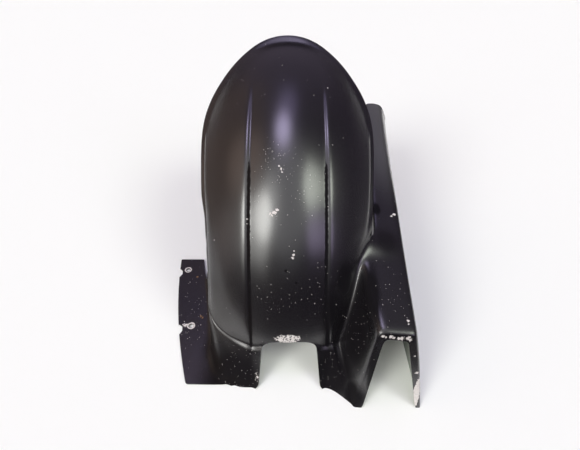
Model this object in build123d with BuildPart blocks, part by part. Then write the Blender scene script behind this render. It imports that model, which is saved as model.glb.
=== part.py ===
from math import asin, cos, degrees, hypot, radians, sin, sqrt
import os

from build123d import *

os.makedirs("parts", exist_ok=True)

# Rear hugger mudguard: one moulded shell with a chain guard along its right side.
# Construction frame: X across the wheel from its middle plane, Y rearward from the axle,
# Z up from the surface that the shell stands on. Sizes are in millimetres and degrees.

# Shell
wall = 3.0
axle_below_floor = 17.0

# Wheel arch: a band about the axle, crowned across its width, with a rounded tail
crown_radius = 335.0
cross_radius = 150.0
tail_cross_radius = 137.0
arch_front_half_width = 110.0
arch_tail_half_width = 118.5
arch_front_angle = 12.3
arch_spread_angle = 30.0
tail_start_angle = 68.0
tail_tip_angle = 102.6
tail_bow = 2.6
tail_taper = 0.5
tail_crown_start_angle = 60.0
tail_crown_full_angle = 85.0
arch_steps = 12
tail_turns = (0, 8, 16, 24, 32, 40, 48, 56, 64, 71, 77, 82, 86)

# Rolled lip along the free edge of the arch
lip_width = 12.0
lip_height = 4.0
lip_tail_rise = 6.0
lip_least_height = 0.3
lip_start_angle = 38.0
lip_full_angle = 55.0
lip_rise_angle = 97.0
lip_share = 0.45
lip_merge_start = 50.0
lip_merge_end = 14.0

# Two lengthwise creases beside the middle panel
crease_offset = 48.0
crease_run = 4.0
crease_depth = 3.5
crease_full_angle = 45.0
crease_end_angle = 77.0
crease_share = 0.4
crease_run_share = 0.1

# Front apron under the arch, and the notch in its middle
apron_floor_y = -350.0
apron_ledge = 4.0
apron_overlap_angle = 1.2
apron_sweep = ((0.35, 0.0), (0.55, 0.02), (0.72, 0.09), (0.88, 0.4), (1.0, 1.0))
fold_top_x = 69.0
fold_bend = 8.0
fold_lead = 2.0
fold_overlap = 8.0
fold_steps = 3
notch_offset = 2.5
notch_top_height = 70.0
notch_top_half_width = 36.0
notch_foot_half_width = 43.0
notch_corner_radius = 8.0

# Left mounting flange
flange_front_y = -346.0
flange_rear_y = -117.0
flange_front_left_x = -139.5
flange_rear_left_x = -189.5
flange_bow = 8.0
flange_front_inner_x = -95.5
flange_rear_width = 40.0
flange_overlap = 8.0
flange_corner_radius = 6.0
bolt_hole_diameter = 6.5
bolt_front = (-148.2, -253.8)
bolt_rear = (-173.1, -141.5)
nick_length = 14.0
nick_depth = 5.0
nick_corner_radius = 2.0

# Web between the flange and the left edge of the arch
web_top_angle = 37.0
web_steps = 3
web_stand = 2.0
web_rise = 1.0
web_tail_y = -165.0
web_tail_height = 22.0
web_tail_lean = 3.0

# Chain guard: an inverted channel with a tall mouth in front
mouth_y = -377.0
mouth_lean = 13.5
mouth_foot_left_x = 86.5
mouth_foot_right_x = 174.0
mouth_top_left_x = 105.0
mouth_top_right_x = 152.0
mouth_left_height = 135.0
mouth_right_height = 130.0
rim_foot_left = 12.0
rim_foot_right = 6.0
rim_top = 11.0
rim_side = 6.0
rim_corner_radius = 9.0
guard_join_y = -252.0
guard_join_x = 98.0
guard_join_foot_x = 31.5
guard_join_foot_height = 20.0
guard_free_y = -213.0
guard_rear_y = 68.0
guard_rear_left_x = 138.0
guard_rear_right_x = 165.5
guard_rear_height = 208.5
guard_gap = 7.0
guard_inner_lip = 20.0
guard_inner_lean = 1.0
guard_floor_end_y = -110.0
guard_rear_depth = 55.0
guard_wall_lean = 6.0
guard_edge_radius = 7.0

# Reach of the tools that cut the rooms and openings
room_depth = 200.0
cut_reach = 1000.0


def arch_radius(x):
    """Distance of the arch's outer face from the axle at x."""
    return crown_radius - cross_radius + sqrt(cross_radius**2 - x**2)


def arch_point(x, angle):
    """Y and Z of the arch's outer face at x and an angle up from the front."""
    radius = arch_radius(x)
    return -radius * cos(radians(angle)), radius * sin(radians(angle)) - axle_below_floor


def ramp(value, start, end):
    """A smooth step from 0 at start to 1 at end."""
    share = min(max((value - start) / (end - start), 0.0), 1.0)
    return share * share * (3 - 2 * share)


def blend(start, end, share):
    """The value a share of the way from start to end."""
    return start + share * (end - start)


def across(turn, rho, radius=cross_radius):
    """A point of the arch's section, at rho from the centre of its crown and a turn from the top."""
    return rho * sin(radians(turn)), crown_radius - radius + rho * cos(radians(turn))


def arch_half_width(angle):
    """Half of the arch's width at an angle: it spreads towards the tail, which then tapers."""
    spread = ramp(angle, arch_spread_angle, tail_start_angle)
    share = max(angle - tail_start_angle, 0.0) / (tail_tip_angle - tail_start_angle)
    return blend(arch_front_half_width, arch_tail_half_width, spread) * (1 - share**tail_bow) ** tail_taper


def turn_at(x, radius=cross_radius):
    """The turn from the top at which the arch's outer face is at x."""
    return degrees(asin(x / radius))


def arch_plane(angle):
    """The plane through the axle that cuts the arch at an angle up from the front."""
    rise = sin(radians(angle))
    run = cos(radians(angle))
    return Plane(origin=(0, 0, -axle_below_floor), x_dir=(1, 0, 0), z_dir=(0, -rise, -run))


def side_plane(x):
    """The upright plane at x, with Y to the right and Z up."""
    return Plane(origin=(x, 0, 0), x_dir=(0, 1, 0), z_dir=(1, 0, 0))


def cross_plane(y, lean=0.0):
    """The plane across the part at y, with X to the right, leaning back by an angle."""
    return Plane(origin=(0, y, 0), x_dir=(1, 0, 0), z_dir=(0, -cos(radians(lean)), sin(radians(lean))))


def wall_section(plane, points):
    """A closed straight-sided section on a plane."""
    with BuildSketch(plane) as section:
        with BuildLine():
            Polyline(*points, close=True)
        make_face()
    return section.sketch


# Wheel arch
def arch_section(angle):
    """The thin closed section of the arch at an angle, with its lips and creases."""
    half_width = arch_half_width(angle)
    radius = blend(cross_radius, tail_cross_radius, ramp(angle, tail_crown_start_angle, tail_crown_full_angle))
    lip = lip_height * ramp(angle, lip_start_angle, lip_full_angle)
    lip += lip_tail_rise * ramp(angle, lip_rise_angle, tail_tip_angle)
    lip = max(lip, lip_least_height)
    # The middle rises into the lips where they come together at the tail's tip
    outer = radius + lip * ramp(-half_width, -lip_merge_start, -lip_merge_end)
    inner = radius - wall
    depth = crease_depth * ramp(-angle, -crease_end_angle, -crease_full_angle)
    crease_x = min(crease_offset, crease_share * half_width)
    edge_turn = turn_at(half_width, radius)
    lip_turn = turn_at(half_width - min(lip_width, lip_share * half_width), radius)
    panel_turn = turn_at(crease_x + min(crease_run, crease_run_share * half_width), radius)
    crease_turn = turn_at(crease_x, radius)
    with BuildSketch(arch_plane(angle)) as section:
        with BuildLine():
            for side in (-1, 1):
                edge = across(side * edge_turn, radius, radius)
                inner_edge = across(side * edge_turn, inner, radius)
                lip_top = across(side * (edge_turn + lip_turn) / 2, radius + lip, radius)
                lip_foot = across(side * lip_turn, outer, radius)
                panel_middle = across(side * (lip_turn + panel_turn) / 2, outer, radius)
                panel_end = across(side * panel_turn, outer, radius)
                crease = across(side * crease_turn, outer - depth, radius)
                inner_middle = across(side * (edge_turn + panel_turn) / 2, inner, radius)
                inner_end = across(side * panel_turn, inner, radius)
                inner_crease = across(side * crease_turn, inner - depth, radius)
                Line(inner_edge, edge)
                ThreePointArc(edge, lip_top, lip_foot)
                ThreePointArc(lip_foot, panel_middle, panel_end)
                Line(panel_end, crease)
                Line(inner_crease, inner_end)
                ThreePointArc(inner_end, inner_middle, inner_edge)
            for rho in (outer, inner):
                left = across(-crease_turn, rho - depth, radius)
                right = across(crease_turn, rho - depth, radius)
                ThreePointArc(left, across(0, rho, radius), right)
        make_face()
    return section.sketch


arch_angles = [blend(arch_front_angle, tail_start_angle, step / arch_steps) for step in range(arch_steps)]
arch_angles += [blend(tail_start_angle, tail_tip_angle, sin(radians(turn))) for turn in tail_turns]

with BuildPart() as arch:
    loft([arch_section(angle) for angle in arch_angles])


# Front apron: it stands proud of the arch by a ledge, and its left end sweeps back to the flange
def apron_section(x, foot_y, top, depth=wall):
    """The section of the apron at x from the floor to its top, or of the room behind it."""
    top_y, top_z = top
    points = [(foot_y, 0), (top_y - apron_ledge, top_z), (top_y + depth, top_z), (foot_y + depth, 0)]
    return wall_section(side_plane(x), points)


def lengthen(foot_y, top, extra):
    """The top of a section that is made longer by extra, along its slope up from the floor."""
    share = 1 + extra / hypot(top[0] - foot_y, top[1])
    return blend(foot_y, top[0], share), top[1] * share


def arch_foot(x):
    """Y and Z where the apron's top meets the front of the arch at x."""
    return arch_point(min(abs(x), arch_front_half_width), arch_front_angle + apron_overlap_angle)


notch_inside_x = notch_top_half_width / 2
left_foot_x = notch_offset - notch_foot_half_width
right_foot_x = notch_offset + notch_foot_half_width
apron_end_y = arch_foot(arch_front_half_width)[0]
left_apron_feet = [(-notch_inside_x, apron_floor_y), (left_foot_x, apron_floor_y)]
for share, sweep in apron_sweep:
    x = blend(left_foot_x, -arch_front_half_width - web_stand / 2, share)
    left_apron_feet.append((x, blend(apron_floor_y, apron_end_y, sweep)))

with BuildPart() as left_apron:
    loft([apron_section(x, foot_y, arch_foot(x)) for x, foot_y in left_apron_feet], ruled=True)

# Right apron: past the arch its top follows the fold down to the foot of the mouth
fold_top = arch_foot(fold_top_x)
fold_foot = (mouth_y + wall, wall)
bend_x = right_foot_x + fold_bend
right_apron_stations = [
    (notch_inside_x, apron_floor_y, arch_foot(notch_inside_x)),
    (bend_x, apron_floor_y - fold_lead, arch_foot(bend_x)),
]
for step in range(fold_steps + 1):
    share = step / fold_steps
    top = tuple(blend(high, low, share) for high, low in zip(fold_top, fold_foot))
    foot_y = blend(apron_floor_y - fold_bend, mouth_y, share)
    right_apron_stations.append((blend(fold_top_x, mouth_foot_left_x, share), foot_y, top))

# Room behind the right apron, which the guard's inner leg keeps out of
with BuildPart() as apron_room:
    loft(
        [apron_section(x, y + wall / 2, top, room_depth) for x, y, top in right_apron_stations],
        ruled=True,
    )

# Room of the wheel under the middle of the arch's wall
axle = Axis((0, 0, -axle_below_floor), (1, 0, 0))
with BuildPart() as wheel_room:
    with BuildSketch(arch_plane(0)):
        with BuildLine():
            room_edge = turn_at(arch_front_half_width)
            crown = across(0, cross_radius - wall / 2)
            edge = across(room_edge, cross_radius - wall / 2)
            ThreePointArc(crown, across(room_edge / 2, cross_radius - wall / 2), edge)
            Polyline(edge, (edge[0], 0), (0, 0), crown)
        make_face()
    revolve(axis=axle, revolution_arc=-tail_tip_angle)


# Chain guard
def channel_lines(foot_left, top_left, top_right, foot_right):
    """The outer and inner corner points of the guard's wall: inner leg, top and outer leg."""
    outer = [Vector(*point) for point in (foot_left, top_left, top_right, foot_right)]
    runs = [(end - start).normalized() for start, end in zip(outer, outer[1:])]
    inward = [Vector(run.Y, -run.X) for run in runs]
    inner = [outer[0] + inward[0] * wall]
    for corner, before, after in zip(outer[1:3], inward, inward[1:]):
        bisector = (before + after).normalized()
        inner.append(corner + bisector * (wall / bisector.dot(before)))
    inner.append(outer[3] + inward[2] * wall)
    return outer, inner


def channel_section(plane, corners):
    """The thin section of the guard on a plane."""
    outer, inner = channel_lines(*corners)
    with BuildSketch(plane) as section:
        with BuildLine():
            FilletPolyline(*outer, radius=guard_edge_radius)
            FilletPolyline(*inner, radius=guard_edge_radius - wall)
            Line(outer[0], inner[0])
            Line(outer[3], inner[3])
        make_face()
    return section.sketch


def room_section(plane, corners):
    """The section of the room inside the guard on a plane."""
    inner = channel_lines(*corners)[1]
    with BuildSketch(plane) as section:
        with BuildLine():
            FilletPolyline(*inner, radius=guard_edge_radius - wall)
            Line(inner[3], inner[0])
        make_face()
    return section.sketch


mouth_plane = cross_plane(mouth_y, mouth_lean)
mouth_outline = (
    (mouth_foot_left_x, 0),
    (mouth_top_left_x, mouth_left_height),
    (mouth_top_right_x, mouth_right_height),
    (mouth_foot_right_x, 0),
)
mouth_top_y = mouth_y + mouth_left_height * sin(radians(mouth_lean))


def guard_top(y, mouth_height):
    """Height of the guard's top at y, along an edge that starts at a height up the mouth."""
    share = (y - mouth_top_y) / (guard_rear_y - mouth_top_y)
    return blend(mouth_height * cos(radians(mouth_lean)), guard_rear_height, share)


def guard_right(y):
    """X and Z of the guard's outer top edge at y."""
    share = (y - mouth_top_y) / (guard_rear_y - mouth_top_y)
    return blend(mouth_top_right_x, guard_rear_right_x, share), guard_top(y, mouth_right_height)


def guard_left(y):
    """X and Z of the guard's free inner top edge at y."""
    share = (y - guard_free_y) / (guard_rear_y - guard_free_y)
    return blend(arch_front_half_width + guard_gap, guard_rear_left_x, share), guard_top(y, mouth_left_height)


def free_corners(y, foot_z):
    """The corners of the guard behind the arch's edge, with its outer wall down to foot_z."""
    left_x, left_z = guard_left(y)
    right = guard_right(y)
    foot_x = blend(right[0] + guard_wall_lean, mouth_foot_right_x, (right[1] - foot_z) / right[1])
    inner_foot = (left_x - guard_inner_lean, left_z - guard_inner_lip)
    return inner_foot, (left_x, left_z), right, (foot_x, foot_z)


join_corners = (
    (guard_join_foot_x, guard_join_foot_height),
    (guard_join_x, guard_top(guard_join_y, mouth_left_height)),
    guard_right(guard_join_y),
    (mouth_foot_right_x, 0),
)
guard_stations = [
    (mouth_plane, mouth_outline),
    (cross_plane(guard_join_y), join_corners),
    (cross_plane(guard_free_y), free_corners(guard_free_y, 0)),
    (cross_plane(guard_floor_end_y), free_corners(guard_floor_end_y, 0)),
    (cross_plane(guard_rear_y), free_corners(guard_rear_y, guard_rear_height - guard_rear_depth)),
]

with BuildPart() as guard:
    loft([channel_section(plane, corners) for plane, corners in guard_stations], ruled=True)
    add(wheel_room.part, mode=Mode.SUBTRACT)
    add(apron_room.part, mode=Mode.SUBTRACT)
    # Turned-in rim round the mouth
    with BuildSketch(mouth_plane) as rim:
        with BuildLine():
            FilletPolyline(*mouth_outline, radius=guard_edge_radius)
            Line(mouth_outline[0], mouth_outline[3])
        make_face()
        with BuildLine() as opening:
            FilletPolyline(
                (mouth_foot_left_x + rim_foot_left, 0),
                (mouth_top_left_x + rim_side, mouth_left_height - rim_top),
                (mouth_top_right_x - rim_side, mouth_right_height - rim_top),
                (mouth_foot_right_x - rim_foot_right, 0),
                radius=rim_corner_radius,
            )
            Line(opening.line @ 1, opening.line @ 0)
        make_face(mode=Mode.SUBTRACT)
    extrude(amount=-wall)

# Room inside the front of the guard, which the arch and the apron keep out of
with BuildPart() as guard_room:
    loft([room_section(plane, corners) for plane, corners in guard_stations[:3]], ruled=True)

with BuildPart() as arch_band:
    add(arch.part)
    # The right edge of the arch ends on the guard's inner leg
    add(guard_room.part, mode=Mode.SUBTRACT)

apron_sections = [apron_section(*station) for station in right_apron_stations[:2]]
for x, foot_y, top in right_apron_stations[2:]:
    apron_sections.append(apron_section(x, foot_y, lengthen(foot_y, top, fold_overlap)))

with BuildPart() as right_apron:
    loft(apron_sections, ruled=True)
    # The apron ends on the guard's inner leg
    add(guard_room.part, mode=Mode.SUBTRACT)


# Left mounting flange: a flat plate under the web and the end of the apron
def flange_share(y):
    """How far back y is along the flange, from 0 in front to 1 at the rear."""
    return (y - flange_front_y) / (flange_rear_y - flange_front_y)


def flange_left(y):
    """X of the flange's bowed outer edge at y."""
    share = flange_share(y)
    bow = 4 * flange_bow * share * (1 - share)
    return blend(flange_front_left_x, flange_rear_left_x, share) - bow


def flange_inner(y):
    """X of the flange's inner edge at y, where the web stands."""
    return blend(flange_front_inner_x, flange_rear_left_x + flange_rear_width, flange_share(y))


flange_middle_y = (flange_front_y + flange_rear_y) / 2
with BuildPart() as flange:
    with BuildSketch() as plate:
        with BuildLine():
            front_left = (flange_front_left_x, flange_front_y)
            rear_left = (flange_rear_left_x, flange_rear_y)
            ThreePointArc(front_left, (flange_left(flange_middle_y), flange_middle_y), rear_left)
            Polyline(
                rear_left,
                (flange_inner(flange_rear_y) + flange_overlap, flange_rear_y),
                (flange_front_inner_x + flange_overlap, flange_front_y),
                front_left,
            )
        make_face()
        fillet(plate.vertices().group_by(Axis.Y)[-1], flange_corner_radius)
        with Locations(bolt_front, bolt_rear):
            Circle(bolt_hole_diameter / 2, mode=Mode.SUBTRACT)
        with Locations(*[(flange_left(y), y - nick_length / 2) for _, y in (bolt_front, bolt_rear)]):
            RectangleRounded(2 * nick_depth, nick_length, nick_corner_radius, mode=Mode.SUBTRACT)
    extrude(amount=wall)


# Web from the flange up to the left edge of the arch
def web_section(y, top_x, top_z):
    """The section of the web across the part at y."""
    foot_x = flange_inner(y)
    points = [(foot_x, 0), (top_x, top_z), (top_x + wall, top_z), (foot_x + wall, 0)]
    return wall_section(cross_plane(y), points)


web_sections = []
for step in range(web_steps + 1):
    angle = blend(arch_front_angle, web_top_angle, step / web_steps)
    edge_y, edge_z = arch_point(arch_front_half_width, angle)
    web_sections.append(web_section(edge_y + wall, -arch_front_half_width - web_stand, edge_z + web_rise))
web_sections.append(web_section(web_tail_y, flange_inner(web_tail_y) + web_tail_lean, web_tail_height))

with BuildPart() as web:
    loft(web_sections, ruled=True)

# Whole shell
with BuildPart() as shell:
    for piece in (arch_band, left_apron, right_apron, guard, flange, web):
        add(piece.part)
    # Notch in the middle of the apron, up into the front of the arch
    with BuildSketch(cross_plane(flange_middle_y)) as notch:
        with BuildLine():
            Polyline(
                (left_foot_x, 0),
                (notch_offset - notch_top_half_width, notch_top_height),
                (notch_offset + notch_top_half_width, notch_top_height),
                (right_foot_x, 0),
                close=True,
            )
        make_face()
        fillet(notch.vertices().group_by(Axis.Y)[-1], notch_corner_radius)
    extrude(amount=cut_reach, mode=Mode.SUBTRACT)
    # Every foot is cut level with the floor
    with BuildSketch(Plane.XY):
        Rectangle(cut_reach, cut_reach)
    extrude(amount=-cut_reach, mode=Mode.SUBTRACT)

# The finished shell stands with the middle of its footprint on the origin
middle = shell.part.bounding_box().center()
with BuildPart() as hugger_shell:
    add(shell.part.moved(Location((-middle.X, -middle.Y, 0))))

hugger_shell.part.label = "hugger_shell"
export_step(hugger_shell.part, "parts/hugger_shell.step")
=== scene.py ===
"""Looks of a worn motorbike rear hugger mudguard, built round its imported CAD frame."""

import logging
import math
from collections.abc import Sequence
from dataclasses import dataclass, field
from enum import Enum

import bpy
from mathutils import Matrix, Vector


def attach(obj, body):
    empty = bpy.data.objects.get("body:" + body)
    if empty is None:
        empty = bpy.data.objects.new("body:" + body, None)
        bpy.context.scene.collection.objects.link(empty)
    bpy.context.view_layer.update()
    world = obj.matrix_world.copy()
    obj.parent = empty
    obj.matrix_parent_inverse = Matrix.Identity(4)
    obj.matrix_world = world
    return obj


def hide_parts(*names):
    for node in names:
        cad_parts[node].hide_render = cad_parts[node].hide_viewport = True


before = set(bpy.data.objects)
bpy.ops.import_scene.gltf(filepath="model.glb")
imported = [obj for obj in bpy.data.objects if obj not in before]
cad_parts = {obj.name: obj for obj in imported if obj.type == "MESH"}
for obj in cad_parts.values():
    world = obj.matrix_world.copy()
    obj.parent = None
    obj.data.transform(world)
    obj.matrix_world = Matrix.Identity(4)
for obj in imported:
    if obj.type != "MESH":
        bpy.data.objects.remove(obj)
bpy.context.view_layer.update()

Point = tuple[float, float, float]
Pair = tuple[float, float]
Row = list[int]
Color = tuple[float, float, float, float]
Tree = bpy.types.NodeTree
Socket = bpy.types.NodeSocket
Value = Socket | float | tuple[float, ...]

GROOVE = "groove"
MM_PER_M = 1000
BOLT_HOLES: tuple[Pair, ...] = ((-0.140718, -0.102682), (-0.165618, 0.009618))

log = logging.getLogger("hugger")


class Slot(Enum):
    """Material slots of the shell, in the order of the mesh."""

    PAINT = 0
    LAMINATE = 1


def ramp(value: float, start: float, end: float) -> float:
    """A smooth step from 0 at start to 1 at end, which may be the lower one."""
    share = min(max((value - start) / (end - start), 0.0), 1.0)
    return share * share * (3 - 2 * share)


def mix(start: float, end: float, share: float) -> float:
    """The number a share of the way from start to end."""
    return start + share * (end - start)


def between(start: Point, end: Point, share: float) -> Point:
    """The point a share of the way from start to end."""
    return tuple(mix(a, b, share) for a, b in zip(start, end))


def table(value: float, pairs: Sequence[Pair]) -> float:
    """A number read off a list of pairs, straight between them.

    Args:
        value: The number to look up.
        pairs: Rising pairs of place and number.

    Returns:
        The number at that place.
    """
    if value <= pairs[0][0]:
        return pairs[0][1]
    for (start, low), (end, high) in zip(pairs, pairs[1:]):
        if value <= end:
            return mix(low, high, (value - start) / (end - start))
    return pairs[-1][1]


@dataclass(frozen=True)
class Change:
    """A size that goes smoothly from its first value to its last one, between two places."""

    first: float
    last: float
    start: float
    end: float

    def at(self, place: float) -> float:
        """The size at a place."""
        return mix(self.first, self.last, ramp(place, self.start, self.end))


@dataclass
class Cage:
    """The control cage of the shell: its points, and its quads between rows of them."""

    shift_x: float = 7.482
    shift_y: float = 151.118
    points: list[Vector] = field(default_factory=list)
    faces: list[tuple[int, ...]] = field(default_factory=list)
    grooves: list[int] = field(default_factory=list)

    def add(self, point: Point) -> int:
        """Adds a point.

        Args:
            point: Where it is from the wheel's axle and the floor, in millimetres.

        Returns:
            The point's number.
        """
        x, y, z = point
        self.points.append(Vector((x + self.shift_x, y + self.shift_y, z)) / MM_PER_M)
        return len(self.points) - 1

    def row(self, points: list[Point]) -> Row:
        """Adds a row of points and gives their numbers."""
        return [self.add(point) for point in points]

    def at(self, number: int) -> Point:
        """Where a point is, in millimetres, as add takes it."""
        x, y, z = self.points[number] * MM_PER_M
        return x - self.shift_x, y - self.shift_y, z

    def patch(self, rows: list[Row]) -> None:
        """Spans quads between rows, and triangles where two points of a quad are one.

        Args:
            rows: Rows of equal length, in order.
        """
        for first, second in zip(rows, rows[1:]):
            for k in range(len(first) - 1):
                corners = (first[k], first[k + 1], second[k + 1], second[k])
                face = tuple(dict.fromkeys(corners))
                if len(face) > 2:
                    self.faces.append(face)


@dataclass(frozen=True)
class ArchSizes:
    """Sizes of the wheel arch in millimetres, with angles in degrees up from the front.

    front_edge gives angles at distances from the middle plane, guard_edge gives distances at angles. The
    shapes of the lip and its flare go from the edge inwards, at the distances of ring. Each pair of middle
    is a column's place on the plain band and its place at the notch.
    """

    drop: float = 17.0
    crown: float = 335.0
    cross: Change = Change(150.0, 137.0, 60.0, 85.0)
    front_width: float = 110.0
    tail_width: float = 118.5
    spread_start: float = 30.0
    front: float = 13.6
    tail: float = 68.0
    tip: float = 103.0
    bow: float = 2.35
    front_edge: tuple[Pair, ...] = (
        (-110, 19.5), (-107.5, 17.9), (-104, 16.5), (-100, 15.5), (-96, 14.8), (-90, 14.1), (-80, 13.6),
        (-60, 13.2), (-43, 12.6), (-33.5, 13.4), (-25, 15.1), (30, 15.1), (38.5, 13.4), (46, 12.5),
        (58, 12.6), (70, 12.7),
    )
    guard_edge: tuple[Pair, ...] = ((12.7, 70.0), (34, 97.0), (36.4, 103.0), (38.8, 110.0))
    free: float = 38.8
    step: float = 3.0
    step_in: Change = Change(0.0, 1.0, 20.0, 32.0)
    step_out: Change = Change(0.0, 1.0, 74.0, 58.0)
    right_step_in: Change = Change(0.0, 1.0, 38.0, 44.0)
    step_reach: float = 0.6
    tuck: float = 4.0
    tuck_in: Change = Change(0.0, 1.0, 16.0, 28.0)
    tuck_out: Change = Change(0.0, 1.0, 50.0, 46.0)
    crease: float = 48.5
    crease_run: float = 2.6
    crease_foot: float = 3.5
    crease_shoulder: float = 7.5
    crease_depth: float = 3.2
    crease_in: Change = Change(0.25, 1.0, 13.0, 22.0)
    crease_out: Change = Change(0.0, 1.0, 85.0, 68.0)
    groove_end: float = 58.0
    right_offset: float = 1.0
    right_swing: Change = Change(0.0, 6.0, 30.0, 13.0)
    right_run_limit: float = 0.3
    right_shoulder: float = 6.0
    right_shoulder_limit: float = 0.2
    notch_end: float = 23.0
    notch_right: float = 46.0
    middle: tuple[Pair, ...] = ((-29.0, -33.5), (-14.5, -24.0), (0.0, 2.5), (14.5, 28.0), (29.0, 38.5))
    thirds: tuple[float, ...] = (0.0, 0.34, 0.67, 1.0)
    corner: float = 91.0
    rows: tuple[float, ...] = (
        13.6, 15.2, 17.2, 20, 23.2, 26.7, 30.4, 34, 36.4, 38.8,
        42, 46, 50, 54.5, 59, 63.5, 68, 72.5, 77,
    )
    tail_rows: int = 6
    columns: int = 18
    ring: tuple[float, ...] = (0.0, 3.0, 6.0, 8.5, 11.5, 19.0)
    join_ring: tuple[float, ...] = (0.0, 9.0, 12.0, 15.0, 18.0, 23.0)
    join_gap: float = 4.0
    join_room: float = 32.0
    join_fade: Pair = (38.0, 46.0)
    step_shape: tuple[float, ...] = (0.05, -0.3, -0.9, 0.0, 0.08, 0.0)
    flare_shape: tuple[float, ...] = (1.0, 0.79, 0.52, 0.29, 0.12, 0.0)
    flare_rise: tuple[Pair, ...] = (
        (58, 0.0), (63, 1.2), (68, 2.9), (73, 4.6), (78, 5.6), (84, 5.3), (88, 4.0), (92, 3.4), (96, 4.2),
        (99, 6.0), (103, 11.5),
    )


class WheelArch:
    """The crowned band over the wheel, with its rolled lip, its creases and its rounded tail."""

    JOIN_ROW = 7
    FREE_ROW = 9
    LEFT_CREASE = 5
    MIDDLE = 9
    RIGHT_CREASE = 13
    SLACK = 0.001

    def __init__(self, sizes: ArchSizes, cage: Cage) -> None:
        """Builds the arch into the cage.

        Args:
            sizes: The arch's sizes.
            cage: The cage to build into.
        """
        self.s = sizes
        self.cage = cage
        self.left: Row = []
        self.right: Row = []
        self.front: Row = []
        self.build()

    def point(self, x: float, angle: float, lift: float = 0.0) -> Point:
        """A point of the band.

        Args:
            x: Its distance from the wheel's middle plane.
            angle: Its angle up from the front.
            lift: How far it stands off the plain band.

        Returns:
            The point.
        """
        cross = self.s.cross.at(angle)
        turn = math.asin(max(-1.0, min(1.0, x / cross)))
        radius = self.s.crown - cross + (cross + lift) * math.cos(turn)
        slope = math.radians(angle)
        across = (cross + lift) * math.sin(turn)
        return across, -radius * math.cos(slope), radius * math.sin(slope) - self.s.drop

    def half_width(self, angle: float) -> float:
        """Half of the band's width.

        Args:
            angle: The angle up from the front.

        Returns:
            The distance of its edge from the middle plane.
        """
        s = self.s
        share = min(max(angle - s.tail, 0.0) / (s.tip - s.tail), 1.0)
        spread = mix(s.front_width, s.tail_width, ramp(angle, s.spread_start, s.tail))
        return spread * (1 - share**s.bow) ** 0.5

    def tail_angle(self, x: float) -> float:
        """The angle at which the tail's edge is at x.

        Args:
            x: The distance from the middle plane.

        Returns:
            The angle up from the front.
        """
        s = self.s
        share = (1 - min(abs(x) / s.tail_width, 1.0) ** 2) ** (1 / s.bow)
        return mix(s.tail, s.tip, share)

    def right_edge(self, angle: float) -> float:
        """Where the band ends on the right: on the chain guard in front, free behind.

        Args:
            angle: The angle up from the front.

        Returns:
            The distance from the middle plane.
        """
        if angle < self.s.free:
            return table(angle, self.s.guard_edge)
        return self.free_edge(angle)

    def free_edge(self, angle: float) -> float:
        """How far a free edge is from the middle plane, with the reach of its lip."""
        return self.half_width(angle) + self.s.step_reach * self.step(angle)

    def right_crease(self, angle: float) -> float:
        """How far the right crease is from the middle plane: it swings out at the front."""
        return self.s.crease + self.s.right_offset + self.s.right_swing.at(angle)

    def front_angle(self, x: float) -> float:
        """The angle where the band ends in front: on the apron's ledge, or at the notch."""
        return table(x, self.s.front_edge)

    def step(self, angle: float) -> float:
        """How far the panel has come to step down to its lip, as a share."""
        return self.s.step_in.at(angle) * self.s.step_out.at(angle)

    def lip(self, place: int, x: float, angle: float) -> float:
        """The lift of the lip, which lies under the panel at the sides and flares up at the tail.

        Args:
            place: The number of the line along the edge.
            x: Where the edge is.
            angle: Where the edge is, up from the front.

        Returns:
            The lift off the plain band.
        """
        s = self.s
        step = self.step(angle)
        rise = table(angle, s.flare_rise)
        if x > 0:
            step *= s.right_step_in.at(angle)
        else:
            rise -= s.tuck * s.tuck_in.at(angle) * s.tuck_out.at(angle)
        return s.step * s.step_shape[place] * step + s.flare_shape[place] * rise

    def crease_lift(self, x: float, angle: float) -> float:
        """How far the middle panel lies under the band because of the creases.

        Args:
            x: The distance from the middle plane.
            angle: The angle up from the front.

        Returns:
            A lift below 0.
        """
        s = self.s
        depth = s.crease_depth * s.crease_out.at(angle) * s.crease_in.at(angle)
        share = abs(x) / (self.right_crease(angle) if x > 0 else s.crease)
        return -depth * share * share if share < 1 + self.SLACK else 0.0

    def edge_path(self) -> list[Pair]:
        """The band's edge from the left front, round the tail, to the right front.

        Returns:
            Pairs of x and angle.
        """
        s = self.s
        steps = [mix(s.rows[-1], s.corner, (k + 1) / s.tail_rows) for k in range(s.tail_rows)]
        start = self.front_angle(-s.front_width)
        left = []
        for angle in s.rows:
            share = (angle - s.front) / (s.rows[-1] - s.front)
            left.append(mix(start, s.rows[-1], share))
        left += steps
        end = self.half_width(s.corner)
        spots = [-end * math.cos(math.pi * k / s.columns) for k in range(1, s.columns)]
        over = [(x, self.tail_angle(x)) for x in spots]
        right = [s.guard_edge[0][0]] + list(s.rows[1:]) + steps
        path = [(-self.free_edge(angle), angle) for angle in left]
        path += over
        path += [(self.right_edge(angle), angle) for angle in reversed(right)]
        return path

    def inward(self, path: list[Pair], k: int) -> Vector:
        """The way from the edge into the band.

        Args:
            path: The edge, as edge_path gives it.
            k: The number of the place on it.

        Returns:
            A direction across and up the band.
        """
        x, angle = path[k]
        if angle < self.s.free:
            return Vector((-math.copysign(1.0, x), 0, 0))
        before = Vector(self.point(*path[max(k - 1, 0)]))
        after = Vector(self.point(*path[min(k + 1, len(path) - 1)]))
        turn = math.asin(x / self.s.cross.at(angle))
        slope = math.radians(angle)
        lean = math.sin(turn)
        across = Vector((math.cos(turn), lean * math.cos(slope), -lean * math.sin(slope)))
        up = Vector((0, math.sin(slope), math.cos(slope)))
        along = (after - before).normalized()
        return Vector((along.dot(up), -along.dot(across), 0)).normalized()

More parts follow.
